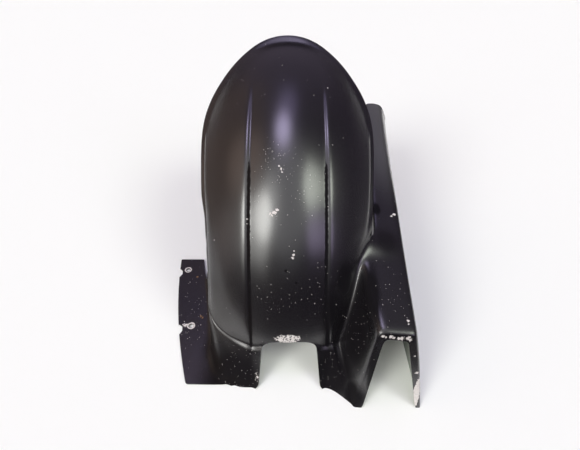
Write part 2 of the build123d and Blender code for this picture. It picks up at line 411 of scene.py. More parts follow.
    def rings(self, path: list[Pair]) -> list[list[Pair]]:
        """Lines that follow the edge at rising distances from it.

        Args:
            path: The edge, as edge_path gives it.

        Returns:
            One list of pairs for each distance.
        """
        s = self.s
        found = [list(path)]
        for distance, join in zip(s.ring[1:], s.join_ring[1:]):
            line = []
            for k, (x, angle) in enumerate(path):
                step = distance
                if x > 0 and angle < s.join_fade[1]:
                    room = self.right_edge(angle) - self.right_crease(angle) - s.join_gap
                    step = mix(join * min(1.0, room / s.join_room), distance, ramp(angle, *s.join_fade))
                cross = s.cross.at(angle)
                flat = math.cos(math.asin(x / cross))
                inward = self.inward(path, k)
                rise = math.degrees(step * inward.y / (s.crown - cross + cross * flat))
                line.append((x + step * inward.x * flat, angle + rise))
            found.append(line)
        return found

    def build(self) -> None:
        """Adds the band's rings and its inner grid to the cage."""
        s = self.s
        rings = self.rings(self.edge_path())
        count = len(s.rows) + s.tail_rows
        lines: list[Row] = []
        for place, line in enumerate(rings):
            fixed = []
            for k, (x, angle) in enumerate(line):
                if k == 0 or k == len(line) - 1:
                    angle = self.front_angle(x)
                fixed.append((x, angle, self.lip(place, *rings[0][k])))
            lines.append(self.cage.row([self.point(*spot) for spot in fixed]))
        self.cage.patch(lines)
        inner = rings[-1]
        left = inner[:count]
        right = list(reversed(inner[-count:]))
        over = inner[count - 1 : len(inner) - count + 1]
        grid = [self.lower_row(i, left[i], right[i]) for i in range(len(s.rows))]
        grid += self.upper_rows(grid[-1], left[len(s.rows) - 1 :], right[len(s.rows) - 1 :], over)
        rows: list[Row] = []
        for i, row in enumerate(grid[:-1]):
            middle = [self.cage.add(self.point(x, a, self.crease_lift(x, a))) for x, a in row[1:-1]]
            full = [lines[-1][i]] + middle + [lines[-1][-1 - i]]
            if row[self.MIDDLE][1] < s.groove_end:
                self.cage.grooves += [full[self.LEFT_CREASE], full[self.RIGHT_CREASE]]
            rows.append(full)
        rows.append(lines[-1][count - 1 : len(inner) - count + 1])
        self.cage.patch(rows)
        self.left = lines[0][:count]
        self.right = list(reversed(lines[0][-count:]))
        ends = lines[:-1]
        self.front = [line[0] for line in ends] + rows[0] + [line[-1] for line in reversed(ends)]

    def lower_row(self, i: int, left: Pair, right: Pair) -> list[Pair]:
        """One row of the inner grid under the tail.

        Args:
            i: The row's number from the front.
            left: Where it starts.
            right: Where it ends.

        Returns:
            Pairs of x and angle for every column.
        """
        s = self.s
        angle = s.rows[i]
        bend = ramp(angle, s.notch_end, s.front)
        crease = self.right_crease(angle)
        room = right[0] - crease
        run = min(s.crease_run, room * s.right_run_limit)
        left_shoulder = -s.crease - s.crease_run - s.crease_shoulder
        right_shoulder = crease + run + min(s.right_shoulder, room * s.right_shoulder_limit)
        columns = [mix(left[0], left_shoulder, share) for share in s.thirds]
        columns += [-s.crease - s.crease_run, -s.crease, -s.crease + s.crease_foot]
        columns += [mix(plain, notched, bend) for plain, notched in s.middle]
        columns += [mix(crease - s.crease_foot, s.notch_right, bend), crease, crease + run]
        columns += [mix(right_shoulder, right[0], share) for share in s.thirds]
        share = (angle - s.front) / (s.rows[-1] - s.front)
        return [(x, mix(self.front_angle(x), s.rows[-1], share)) for x in columns]

    def upper_rows(
        self, base: list[Pair], left: list[Pair], right: list[Pair], over: list[Pair]
    ) -> list[list[Pair]]:
        """The rows of the inner grid in the tail, spanned between its four sides.

        Args:
            base: The row under the tail.
            left: The left side from that row upwards.
            right: The right side from that row upwards.
            over: The side along the tail's tip, from left to right.

        Returns:
            The rows above base.
        """
        rows = []
        for i in range(1, len(left)):
            v = i / (len(left) - 1)
            row = []
            for j in range(len(base)):
                u = j / (len(base) - 1)
                spot = []
                for axis in (0, 1):
                    sides = mix(base[j][axis], over[j][axis], v) + mix(left[i][axis], right[i][axis], u)
                    low = mix(base[0][axis], base[-1][axis], u)
                    high = mix(over[0][axis], over[-1][axis], u)
                    spot.append(sides - mix(low, high, v))
                row.append((spot[0], spot[1]))
            rows.append(row)
        return rows


@dataclass(frozen=True)
class SkirtSizes:
    """Sizes of the front apron, the web and the side flange, in millimetres.

    The feet go from the flange's front to the notch, and right_feet from the notch to the fold. Each pair
    of web_ledge and web_sweep is the size at the web's front and what it loses in a row. Each pair of
    web_heads is a share of the way to the web's end and its height there.
    """

    ledge: float = 4.6
    least_ledge: float = 1.0
    brow_drop: float = 1.4
    brow_run: float = 9.0
    plain_brow: float = 2.5
    sweep: float = 7.5
    least_bend: float = 0.45
    foot: float = -4.0
    notch_foot: float = 3.5
    floor_y: float = -351.5
    plate: float = 3.05
    corner_feet: tuple[Pair, ...] = (
        (-110, -294), (-106.5, -308), (-102, -321), (-96, -332), (-88.5, -340.5), (-80, -346),
    )
    corner_ledges: tuple[float, ...] = (1.6, 2.4, 3.0, 3.5, 3.8)
    corner_sweeps: tuple[float, ...] = (24.0, 26.0, 28.0, 28.0, 26.0, 22.0, 14.0)
    apron_start: Pair = (-72.0, -349.2)
    apron_feet: tuple[float, ...] = (-66.0, -60.0, -55.5, -51.5, -47.0)
    apron_sweep: float = 9.0
    notch_left: float = -40.7
    notch_right: float = 46.0
    right_columns: tuple[float, ...] = (45.6, 50.0, 54.5, 59.5, 65.0, 71.0, 77.0)
    right_feet: tuple[Pair, ...] = (
        (45.5, -351.5), (53.5, -352.5), (62, -356), (69, -361), (78, -369), (86.5, -377),
    )
    right_ledge_end: float = 70.0
    fold: float = 86.5
    web_lag: float = 1.0
    web_pitch: float = 10.0
    web_bent_rows: int = 5
    web_ledge: Pair = (1.2, 0.4)
    web_sweep: Pair = (20.0, 1.5)
    web_end: float = -165.0
    web_heads: tuple[Pair, ...] = ((0.34, 92.0), (0.67, 46.0), (1.0, 20.0))
    web_lean: float = 2.5
    web_turn: Pair = (-0.3, 1.0)
    web_rows: tuple[float, ...] = (0.0, 0.12, 0.25, 0.5)
    web_least_bend: float = 0.6
    flange_front: float = -346.0
    flange_rear: float = -117.0
    flange_left_front: float = -139.5
    flange_left_rear: float = -189.5
    flange_bow: float = 8.0
    flange_inner_front: float = -95.5
    flange_inner_rear: float = -149.5
    flange_rows: tuple[float, ...] = (-150.0, -137.0, -125.0, -119.5)
    flange_border: float = 4.0
    fillet: Change = Change(20.0, 7.0, -310.0, -200.0)
    fillet_row: float = 0.7


class Skirt:
    """What hangs under the arch: the notched apron, the web and the bolt-on flange."""

    WEB_ROW = 7
    LEFT_NOTCH = 12
    RIGHT_NOTCH = 16

    def __init__(self, sizes: SkirtSizes, arch: WheelArch, cage: Cage) -> None:
        """Builds the skirt into the cage.

        Args:
            sizes: The skirt's sizes.
            arch: The arch that it hangs from.
            cage: The cage to build into.
        """
        self.s = sizes
        self.arch = arch
        self.cage = cage
        self.fold: Row = []
        self.build_left()
        self.build_right()

    def flange_share(self, y: float) -> float:
        """How far back y is along the flange: 0 in front, 1 at the rear."""
        return (y - self.s.flange_front) / (self.s.flange_rear - self.s.flange_front)

    def flange_inner(self, y: float) -> float:
        """Where the flange's inner edge is at y."""
        return mix(self.s.flange_inner_front, self.s.flange_inner_rear, self.flange_share(y))

    def flange_outer(self, y: float) -> float:
        """The flange's bowed outer edge.

        Args:
            y: The place along it.

        Returns:
            Its x.
        """
        share = self.flange_share(y)
        bow = 4 * self.s.flange_bow * share * (1 - share)
        return mix(self.s.flange_left_front, self.s.flange_left_rear, share) - bow

    def column(self, top: int, foot: Point, ledge: float, sweep: float) -> Row:
        """One column of the skirt, from the arch down.

        Args:
            top: The cage point on the arch.
            foot: Where the column ends.
            ledge: How far the skirt stands proud of the arch at its top.
            sweep: How far above the foot it starts to bend.

        Returns:
            The column's points from the top.
        """
        s = self.s
        start = self.cage.at(top)
        out = Vector((foot[0] - start[0], foot[1] - start[1], 0)).normalized() * ledge
        brow = (start[0] + out.x, start[1] + out.y, start[2] - s.brow_drop)
        length = math.dist(brow, foot)
        bend = max(1 - sweep / length, s.least_bend)
        run = s.brow_run / length
        if ledge < s.least_ledge:
            brow = between(start, foot, s.plain_brow / length)
        shares = (run, mix(run, bend, 0.5), bend, 1.0)
        return [top] + self.cage.row([brow] + [between(brow, foot, share) for share in shares])

    def build_left(self) -> None:
        """Adds the left apron, the web and the flange."""
        s = self.s
        front = self.arch.front[: self.LEFT_NOTCH + 1]
        feet: list[Point] = [(x, y, s.plate) for x, y in s.corner_feet]
        feet.append((*s.apron_start, s.foot))
        feet += [(x, s.floor_y, s.foot) for x in s.apron_feet]
        feet.append((s.notch_left, s.floor_y, s.notch_foot))
        ledges = s.corner_ledges + (s.ledge,) * (len(feet) - len(s.corner_ledges))
        sweeps = s.corner_sweeps + (s.apron_sweep,) * (len(feet) - len(s.corner_sweeps))
        columns = [self.column(*spot) for spot in zip(front, feet, ledges, sweeps)]
        columns.reverse()
        columns += self.web()
        self.cage.patch(columns)
        self.build_flange([column[-1] for column in columns[len(feet) - len(s.corner_feet) :]])

    def web(self) -> list[Row]:
        """Adds the points of the web, which runs out behind the arch.

        Returns:
            Its columns from the front.
        """
        s = self.s
        columns = []
        for i in range(1, self.WEB_ROW + 1):
            top = self.arch.left[i]
            even = s.corner_feet[0][1] + s.web_pitch * i
            y = mix(self.cage.at(top)[1] + s.web_lag, even, ramp(i, s.web_bent_rows, 0))
            ledge = max(s.web_ledge[0] - s.web_ledge[1] * i, 0.0)
            sweep = s.web_sweep[0] - s.web_sweep[1] * i
            columns.append(self.column(top, (self.flange_inner(y), y, s.plate), ledge, sweep))
        top_x, top_y, _ = self.cage.at(self.arch.left[self.WEB_ROW])
        for share, height in s.web_heads:
            y = mix(top_y + s.web_lag, s.web_end, share)
            foot = (self.flange_inner(y), y, s.plate)
            head = (mix(top_x, foot[0] + s.web_lean, ramp(share, *s.web_turn)), y, height)
            rows = (*s.web_rows, max(s.web_least_bend, 1 - s.sweep / height), 1.0)
            columns.append(self.cage.row([between(head, foot, k) for k in rows]))
        return columns

    def build_flange(self, feet: Row) -> None:
        """Adds the flat flange.

        Args:
            feet: The points where the skirt stands on it, from the front.
        """
        s = self.s
        rows = []
        tab = [(self.flange_inner(y), y, s.plate) for y in (*s.flange_rows, s.flange_rear)]
        for foot in feet + self.cage.row(tab):
            x, y, z = self.cage.at(foot)
            edge = self.flange_outer(y)
            fillet = s.fillet.at(y)
            inner = x - fillet
            spans = (x - fillet * s.fillet_row, inner, mix(inner, edge, 0.5), edge + s.flange_border, edge)
            rows.append([foot] + self.cage.row([(span, y, z) for span in spans]))
        self.cage.patch(rows)

    def build_right(self) -> None:
        """Adds the right apron, up to its fold into the chain guard."""
        s = self.s
        front = self.arch.front[self.RIGHT_NOTCH :]
        last = s.right_columns[-1]
        rest = len(front) - len(s.right_columns)
        spots = s.right_columns + tuple(mix(last, s.fold, (k + 1) / rest) for k in range(rest))
        columns = []
        for top, x in zip(front, spots):
            foot = (x, table(x, s.right_feet), s.notch_foot if x < s.notch_right else s.foot)
            ledge = s.ledge * ramp(x, s.fold, s.right_ledge_end)
            columns.append(self.column(top, foot, ledge, s.sweep))
        self.fold = columns[-1]
        self.cage.patch(columns)


@dataclass(frozen=True)
class GuardSizes:
    """Sizes of the chain guard, in millimetres and degrees."""

    mouth_y: float = -377.0
    lean: float = 13.5
    foot: float = -4.0
    foot_left: float = 86.5
    foot_right: float = 174.0
    foot_spread: float = 0.7
    foot_lag: Change = Change(-31.0, 0.0, -346.0, -250.0)
    top_left: float = 105.0
    top_right: float = 152.0
    left_height: float = 135.0
    right_height: float = 130.0
    rim_foot_left: float = 12.0
    rim_foot_right: float = 6.0
    rim_top: float = 11.0
    rim_side: float = 9.0
    rear_y: float = 68.0
    rear_left: float = 138.0
    rear_right: float = 165.5
    rear_height: float = 208.5
    rear_depth: float = 55.0
    floor_end: float = -110.0
    free_y: float = -213.0
    free_x: float = 117.0
    lip: Change = Change(0.0, 20.0, -223.0, -185.0)
    lip_row: float = 6.0
    lip_lean: Pair = (0.3, 1.0)
    wall_lean: float = 6.0
    wall_rows: Pair = (0.4, 0.75)
    near: Change = Change(17.0, 8.0, -260.0, -200.0)
    far: Change = Change(9.0, 18.0, -200.0, 0.0)
    far_limit: float = 0.42
    far_drop: Change = Change(1.0, 2.2, -200.0, 0.0)
    bulge: Change = Change(3.0, 0.0, -330.0, -230.0)
    bulge_shape: tuple[float, ...] = (0.25, 1.0, 0.8, 0.7)
    flare: Change = Change(0.0, 6.0, -240.0, 20.0)
    flare_shape: tuple[float, ...] = (1.0, 1.0, 0.6, 0.2)
    rear_pull: tuple[float, ...] = (0.0, 0.0, 2.0, 7.0, 9.0, 9.0, 9.0, 9.0)
    pulled_rows: int = 2
    leg_rises: tuple[float, ...] = (0.0, 0.12, 0.26, 0.41, 0.56, 0.7, 0.85, 1.0)
    leg_columns: tuple[float, ...] = (0.16, 0.32, 0.58, 0.84, 1.0)
    rim_rows: Pair = (0.4, 1.0)
    stations: tuple[float, ...] = (-203, -185, -160, -130, -110, -85, -50, -12, 25, 48, 62, 68)


class ChainGuard:
    """The long inverted channel on the right, with its tall mouth in front."""

    TOP_COLUMNS = 4

    def __init__(self, sizes: GuardSizes, arch: WheelArch, fold: Row, cage: Cage) -> None:
        """Builds the guard into the cage.

        Args:
            sizes: The guard's sizes.
            arch: The arch that its inner leg meets.
            fold: The points of the apron's fold, from the arch down.
            cage: The cage to build into.
        """
        self.s = sizes
        self.arch = arch
        self.cage = cage
        leg = self.build_leg(fold)
        self.build_channel(leg)

    def mouth(self, x: float, height: float) -> Point:
        """The point at x in the leaning plane of the mouth, at a height along that plane."""
        lean = math.radians(self.s.lean)
        return x, self.s.mouth_y + height * math.sin(lean), height * math.cos(lean)

    def share(self, y: float) -> float:
        """How far back y is along the guard's top: 0 at the mouth, 1 at the rear."""
        start = self.mouth(0, self.s.left_height)[1]
        return (y - start) / (self.s.rear_y - start)

    def right_top(self, y: float) -> Point:
        """The guard's outer top edge.

        Args:
            y: The place along it.

        Returns:
            The point.
        """
        s = self.s
        share = self.share(y)
        start = self.mouth(0, s.right_height)[2]
        return mix(s.top_right, s.rear_right, share), y, mix(start, s.rear_height, share)

    def left_top(self, y: float) -> Point:
        """The guard's free inner top edge.

        Args:
            y: The place along it.

        Returns:
            The point.
        """
        s = self.s
        start = self.mouth(0, s.left_height)[2]
        x = mix(s.free_x, s.rear_left, (y - s.free_y) / (s.rear_y - s.free_y))
        return x, y, mix(start, s.rear_height, self.share(y))

    def right_foot(self, y: float, top: Point) -> Point:
        """The lower edge of the guard's outer wall.

        Args:
            y: The place along it.
            top: The wall's top at that place.

        Returns:
            The point.
        """
        s = self.s
        rise = max(y - s.floor_end, 0.0) / (s.rear_y - s.floor_end)
        if rise <= 0:
            return s.foot_right + s.foot_spread, y, s.foot
        z = mix(0.0, s.rear_height - s.rear_depth, rise)
        return mix(top[0] + s.wall_lean, s.foot_right, (top[2] - z) / top[2]), y, z

    def build_leg(self, fold: Row) -> list[Row]:
        """Adds the inner leg between the arch and the mouth.

        Args:
            fold: Its lowest row.

        Returns:
            Its rows, from the fold up to the guard's top.
        """
        s = self.s
        foot = self.mouth(s.foot_left, 0.0)
        top = self.mouth(s.top_left, s.left_height)
        rows = [fold]
        for i in range(1, WheelArch.JOIN_ROW + 1):
            start = self.arch.right[i]
            end = between(foot, top, s.leg_rises[i])
            spots = [between(self.cage.at(start), end, share) for share in s.leg_columns]
            rows.append([start] + self.cage.row(spots))
        self.cage.patch(rows)
        return rows

    def section(self, left: Point, at_mouth: bool) -> list[Point]:
        """The guard's top and outer wall at one place.

        Args:
            left: The inner end of the top.
            at_mouth: Whether the place is the mouth.

        Returns:
            The points from the one beside left to the wall's lower edge.
        """
        s = self.s
        y = left[1]
        if at_mouth:
            right = self.mouth(s.top_right, s.right_height)
            foot = self.mouth(s.foot_right + s.foot_spread, s.foot)
        else:
            right = self.right_top(y)
            foot = self.right_foot(y + s.foot_lag.at(y), right)
        width = math.dist(left, right)
        far = min(s.far.at(y), s.far_limit * width)
        drop = s.far_drop.at(y) * far / math.dist(right, foot)
        tops = [between(left, right, share) for share in (s.near.at(y) / width, 0.5, 1 - far / width, 1.0)]
        walls = [between(right, foot, share) for share in (drop, *s.wall_rows, 1.0)]
        for k, (bulge, flare) in enumerate(zip(s.bulge_shape, s.flare_shape)):
            x, wall_y, z = walls[k]
            walls[k] = (x + s.bulge.at(y) * bulge + s.flare.at(y) * flare, wall_y, z)
        return tops + walls

    def build_channel(self, leg: list[Row]) -> None:
        """Adds the top, the outer wall, the inner lip and the rim of the mouth.

        Args:
            leg: The rows of the inner leg.
        """
        s = self.s
        starts = list(reversed(leg[-1]))
        starts += self.arch.right[WheelArch.JOIN_ROW + 1 : WheelArch.FREE_ROW + 1]
        joined = len(starts)
        starts += self.cage.row([self.left_top(y) for y in s.stations])
        rows = []
        for k, start in enumerate(starts):
            line = self.section(self.cage.at(start), k == 0)
            share = max(k + 1 - len(starts) + s.pulled_rows, 0) / s.pulled_rows
            line = [(x, y - pull * share, z) for (x, y, z), pull in zip(line, s.rear_pull)]
            rows.append([start] + self.cage.row(line))
        self.cage.patch(rows)
        lips = [[starts[joined - 1]] * 3]
        for number, y in zip(starts[joined:], s.stations):
            x, _, z = self.cage.at(number)
            depth = s.lip.at(y)
            upper = (x - s.lip_lean[0], y, z - min(s.lip_row, depth / 2))
            lips.append([number] + self.cage.row([upper, (x - s.lip_lean[1], y, z - depth)]))
        self.cage.patch(lips)
        self.build_rim([row[-1] for row in leg], rows[0])

    def build_rim(self, left: Row, over: Row) -> None:
        """Adds the rim that turns in round the mouth.

        Args:
            left: The mouth's left edge, from the floor up.
            over: The mouth's top and right edge.
        """
        s = self.s
        line = left + over[1:]
        lean = math.radians(s.lean)
        corners = [
            (s.foot_left + s.rim_foot_left, 0.0),
            (s.top_left + s.rim_side, s.left_height - s.rim_top),
            (s.top_right - s.rim_side, s.right_height - s.rim_top),
            (s.foot_right - s.rim_foot_right, 0.0),
        ]
        inner = []
        for number in line:
            x, _, z = self.cage.at(number)
            height = z / math.cos(lean)
            if number in left:
                share = height / s.left_height
                start, end = corners[0], corners[1]
            elif number in over[1 : 1 + self.TOP_COLUMNS]:
                share = (x - s.top_left) / (s.top_right - s.top_left)
                start, end = corners[1], corners[2]
            else:
                share = 1 - height / s.right_height
                start, end = corners[2], corners[3]
            inner.append(self.mouth(mix(start[0], end[0], share), mix(start[1], end[1], share)))
        rows = [line]
        for share in s.rim_rows:
            rows.append(self.cage.row([between(self.cage.at(a), b, share) for a, b in zip(line, inner)]))
        self.cage.patch(rows)


@dataclass(frozen=True)
class ShellSizes:
    """Sizes of the moulded wall and of what is cut out of it, in metres and degrees."""

    wall: float = 0.003
    levels: int = 2
    merge: float = 1e-6
    smooth_angle: float = 40.0
    hole: float = 0.00325
    hole_sides: int = 48
    nick: Pair = (0.013, 0.0187)
    nick_sides: int = 7
    nicks: tuple[Pair, ...] = ((-0.1590, -0.1097), (-0.1802, 0.0026))
    tool_depth: float = 0.03


class HuggerShell:
    """The one moulded piece: cage, wall, cuts and finishes."""

    def __init__(self, sizes: ShellSizes) -> None:
        """Keeps the sizes."""
        self.s = sizes

    def build(self, materials: list[bpy.types.Material]) -> bpy.types.Object:
        """Builds the shell.

        Args:
            materials: The paint and the laminate, in the order of Slot.

        Returns:
            The finished piece.
        """
        cage = Cage()
        arch = WheelArch(ArchSizes(), cage)
        skirt = Skirt(SkirtSizes(), arch, cage)
        ChainGuard(GuardSizes(), arch, skirt.fold, cage)
        mesh = bpy.data.meshes.new("hugger_mudguard")
        mesh.from_pydata(cage.points, [], cage.faces)
        marks = mesh.attributes.new(GROOVE, "FLOAT", "POINT")
        for number in cage.grooves:
            marks.data[number].value = 1.0
        piece = bpy.data.objects.new("hugger_mudguard", mesh)
        bpy.context.scene.collection.objects.link(piece)
        for material in materials:
            mesh.materials.append(material)
        self.select(piece)
        bpy.ops.object.mode_set(mode="EDIT")
        bpy.ops.mesh.select_all(action="SELECT")
        bpy.ops.mesh.remove_doubles(threshold=self.s.merge)
        bpy.ops.mesh.normals_make_consistent(inside=False)
        bpy.ops.object.mode_set(mode="OBJECT")
        crown = max(mesh.polygons, key=lambda face: face.center.z)
        if crown.normal.z < 0:
            mesh.flip_normals()
        self.harden(piece)
        log.info("%s: %d faces", piece.name, len(mesh.polygons))
        return piece

    def select(self, piece: bpy.types.Object) -> None:
        """Makes a piece the only selected and the active one.

        Args:
            piece: The piece.
        """
        bpy.ops.object.select_all(action="DESELECT")
        piece.select_set(True)
        bpy.context.view_layer.objects.active = piece

    def harden(self, piece: bpy.types.Object) -> None:
        """Turns the cage into a smooth wall and cuts its feet and holes.

        Args:
            piece: The cage's piece.
        """
        smooth = piece.modifiers.new("smooth", "SUBSURF")
        smooth.levels = smooth.render_levels = self.s.levels
        smooth.boundary_smooth = "ALL"
        bpy.ops.object.modifier_apply(modifier="smooth")
        wall = piece.modifiers.new("wall", "SOLIDIFY")
        wall.thickness = self.s.wall
        wall.offset = -1
        wall.use_even_offset = True
        wall.thickness_clamp = 1.0
        wall.material_offset = Slot.LAMINATE.value
        wall.material_offset_rim = Slot.PAINT.value
        bpy.ops.object.modifier_apply(modifier="wall")
        bpy.ops.object.mode_set(mode="EDIT")
        bpy.ops.mesh.select_all(action="SELECT")
        bpy.ops.mesh.bisect(plane_co=(0, 0, 0), plane_no=(0, 0, 1), use_fill=True, clear_inner=True)
        bpy.ops.object.mode_set(mode="OBJECT")
        self.drill(piece)
        bpy.ops.object.shade_smooth_by_angle(angle=math.radians(self.s.smooth_angle))

    def drill(self, piece: bpy.types.Object) -> None:
        """Cuts the two bolt holes and the broken places in the flange's edge.

        Each tool is made one metre across and then scaled to its width and length.

        Args:
            piece: The shell.
        """
        s = self.s
        tools = [(place, s.hole_sides, (2 * s.hole, 2 * s.hole)) for place in BOLT_HOLES]
        tools += [(place, s.nick_sides, s.nick) for place in s.nicks]
        for place, sides, (width, length) in tools:
            bpy.ops.mesh.primitive_cylinder_add(
                vertices=sides, radius=0.5, depth=s.tool_depth, location=(*place, 0)
            )
            tool = bpy.context.active_object
            tool.scale = (width, length, 1)
            self.cut(piece, tool)

    def cut(self, piece: bpy.types.Object, tool: bpy.types.Object) -> None:
        """Takes a tool out of a piece and clears the tool away.

        Args:
            piece: The piece to cut.
            tool: The shape to take out.
        """
        self.select(piece)
        cut = piece.modifiers.new("cut", "BOOLEAN")
        cut.operation = "DIFFERENCE"
        cut.solver = "EXACT"
        cut.object = tool
        bpy.ops.object.modifier_apply(modifier="cut")
        bpy.data.objects.remove(tool)


class Graph:
    """A node tree that is filled from code."""

    MIX_SHARE, MIX_FIRST, MIX_SECOND, MIX_RESULT = 0, 6, 7, 2
    NUMBERS = ("DISTANCE", "DOT_PRODUCT", "LENGTH")

    def __init__(self, tree: Tree) -> None:
        """Keeps the tree to fill."""
        self.tree = tree

    def feed(self, socket: Socket, value: Value) -> None:
        """Links a socket, or sets it.

        Args:
            socket: The input socket.
            value: An output socket, a number or a tuple.
        """
        if isinstance(value, Socket):
            self.tree.links.new(value, socket)
        else:
            socket.default_value = value

    def node(self, kind: str, settings: dict[str, str | Tree], **inputs: Value) -> bpy.types.Node:
        """Adds a node.

        Args:
            kind: The node's type, without its prefix.
            settings: The node's own options.
            inputs: Values for its inputs, with _ for a space.

        Returns:
            The node.
        """
        node = self.tree.nodes.new("ShaderNode" + kind)
        for name, option in settings.items():
            setattr(node, name, option)
        for name, value in inputs.items():
            self.feed(node.inputs[name.replace("_", " ")], value)
        return node

    def math(self, operation: str, first: Value, second: Value = 0.0) -> Socket:
        """Adds a sum.

        Args:
            operation: What to do.
            first: The first value.
            second: The second value.

        Returns:
            The result.
        """
        node = self.node("Math", {"operation": operation})
        self.feed(node.inputs[0], first)
        self.feed(node.inputs[1], second)
        return node.outputs[0]

    def vector(self, operation: str, *values: Value) -> Socket:
        """Adds a sum of vectors.

        Args:
            operation: What to do.
            values: What to do it with, in order.

        Returns:
            The result, which is a number for some operations.
        """
        node = self.node("VectorMath", {"operation": operation})
        for socket, value in zip(node.inputs, values):
            self.feed(socket, value)
        return node.outputs["Value" if operation in self.NUMBERS else "Vector"]

    def fade(
        self, value: Value, start: Value, end: Value, low: Value = 0.0, high: Value = 1.0
    ) -> Socket:
        """Adds a smooth step from low to high.

        Args:
            value: The value to place.
            start: Where the step begins.
            end: Where the step is over.
            low: The result before it.
            high: The result after it.

        Returns:
            The result.
        """
        node = self.node(
            "MapRange", {"interpolation_type": "SMOOTHSTEP"},
            Value=value, From_Min=start, From_Max=end, To_Min=low, To_Max=high,
        )
        return node.outputs["Result"]

    def noise(self, place: Value, scale: float, detail: float) -> Socket:
        """Adds noise round 0.5, with scale cells in a metre and finer layers by its detail."""
        return self.node("TexNoise", {}, Vector=place, Scale=scale, Detail=detail).outputs["Fac"]

    def blend(self, share: Value, first: Value, second: Value) -> Socket:
        """Mixes two colours.

        Args:
            share: How much of the second.
            first: The first colour.
            second: The second colour.

        Returns:
            The mix.
        """
        node = self.node("Mix", {"data_type": "RGBA"})
        self.feed(node.inputs[self.MIX_SHARE], share)
        self.feed(node.inputs[self.MIX_FIRST], first)
        self.feed(node.inputs[self.MIX_SECOND], second)
        return node.outputs[self.MIX_RESULT]

    def most(self, masks: list[Socket]) -> Socket:
        """Joins masks.

        Args:
            masks: The masks.

        Returns:
            The highest of them at each place.
        """
        total = masks[0]
        for mask in masks[1:]:
            total = self.math("MAXIMUM", total, mask)
        return total

    def group(self, tree: Tree, **inputs: Value) -> Socket:
        """Places a node group, with values for its inputs, and gives its first output."""
        return self.node("Group", {"node_tree": tree}, **inputs).outputs[0]


class Effects:
    """The node groups that the finishes share."""

    CHIP_GRAIN = (700, 3)
    CHIP_RAGGED = 2.6
    CHIP_EDGE = 0.8
    PATCH_CORE = 0.35
    DOT_SIZES = (0.45, 1.2)
    DOT_EDGE = 0.6

    def __init__(self) -> None:
        """Builds the groups."""
        self.chip = self.build_chip()
        self.patch = self.build_patch()
        self.speckle = self.build_speckle()

    def start(self, name: str, inputs: dict[str, str]) -> tuple[Graph, bpy.types.Node, bpy.types.Node]:
        """Starts a group that puts out a mask.

        Args:
            name: The group's name.
            inputs: Its inputs and their types.

        Returns:
            The group's graph, its input node and its output node.
        """
        tree = bpy.data.node_groups.new(name, "ShaderNodeTree")
        for label, kind in inputs.items():
            tree.interface.new_socket(name=label, in_out="INPUT", socket_type="NodeSocket" + kind)
        tree.interface.new_socket(name="Mask", in_out="OUTPUT", socket_type="NodeSocketFloat")
        return Graph(tree), tree.nodes.new("NodeGroupInput"), tree.nodes.new("NodeGroupOutput")

    def build_chip(self) -> Tree:
        """A ragged spot.

        Returns:
            The group.
        """
        inputs = {"Place": "Vector", "Centre": "Vector", "Radius": "Float"}
        graph, given, result = self.start("chip", inputs)
        place, centre, radius = given.outputs[:3]
        away = graph.vector("DISTANCE", place, centre)
        ragged = graph.math("SUBTRACT", graph.noise(place, *self.CHIP_GRAIN), 0.5)
        ragged = graph.math("MULTIPLY", ragged, graph.math("MULTIPLY", radius, self.CHIP_RAGGED))
        reach = graph.math("ADD", away, ragged)
        edge = graph.math("MULTIPLY", radius, self.CHIP_EDGE)
        graph.feed(result.inputs["Mask"], graph.fade(reach, radius, edge))
        return graph.tree

    def build_patch(self) -> Tree:
        """A soft region.

        Returns:
            The group.
        """
        inputs = {"Place": "Vector", "Centre": "Vector", "Radii": "Vector"}
        graph, given, result = self.start("patch", inputs)
        place, centre, radii = given.outputs[:3]
        offset = graph.vector("DIVIDE", graph.vector("SUBTRACT", place, centre), radii)
        mask = graph.fade(graph.vector("LENGTH", offset), 1.0, self.PATCH_CORE)
        graph.feed(result.inputs["Mask"], mask)
        return graph.tree

    def build_speckle(self) -> Tree:
        """Scattered dots.

        Returns:
            The group.
        """
        inputs = {"Place": "Vector", "Scale": "Float", "Amount": "Float", "Size": "Float"}
        graph, given, result = self.start("speckle", inputs)
        place, scale, amount, size = given.outputs[:4]
        cells = graph.node("TexVoronoi", {}, Vector=place, Scale=scale)
        random = graph.node("SeparateColor", {}, Color=cells.outputs["Color"])
        size = graph.math("MULTIPLY", size, graph.fade(random.outputs["Green"], 0.0, 1.0, *self.DOT_SIZES))
        dot = graph.fade(cells.outputs["Distance"], size, graph.math("MULTIPLY", size, self.DOT_EDGE))
        kept = graph.math("LESS_THAN", random.outputs["Red"], amount)
        graph.feed(result.inputs["Mask"], graph.math("MULTIPLY", dot, kept))
        return graph.tree


class Surface(Graph):
    """The nodes of a new material: its shader, the shared effects and the place that they read."""

    def __init__(self, name: str, effects: Effects) -> None:
        """Starts the material.

        Args:
            name: The material's name.
            effects: The shared node groups.
        """
        self.material = bpy.data.materials.new(name)
        self.material.use_nodes = True
        super().__init__(self.material.node_tree)
        self.effects = effects
        self.shader = self.tree.nodes["Principled BSDF"]
        self.place = self.node("TexCoord", {}).outputs["Object"]

    def set(self, **inputs: Value) -> None:
        """Links or sets inputs of the shader, with _ for a space."""
        for name, value in inputs.items():
            self.feed(self.shader.inputs[name.replace("_", " ")], value)

    def grain(self, scale: float, detail: float) -> Socket:
        """Adds noise on the surface, as noise does."""
        return self.noise(self.place, scale, detail)

    def bump(self, height: Value, strength: float, distance: float) -> None:
        """Feeds the shader's normal from a height."""
        node = self.node("Bump", {}, Strength=strength, Distance=distance, Height=height)
        self.set(Normal=node.outputs["Normal"])


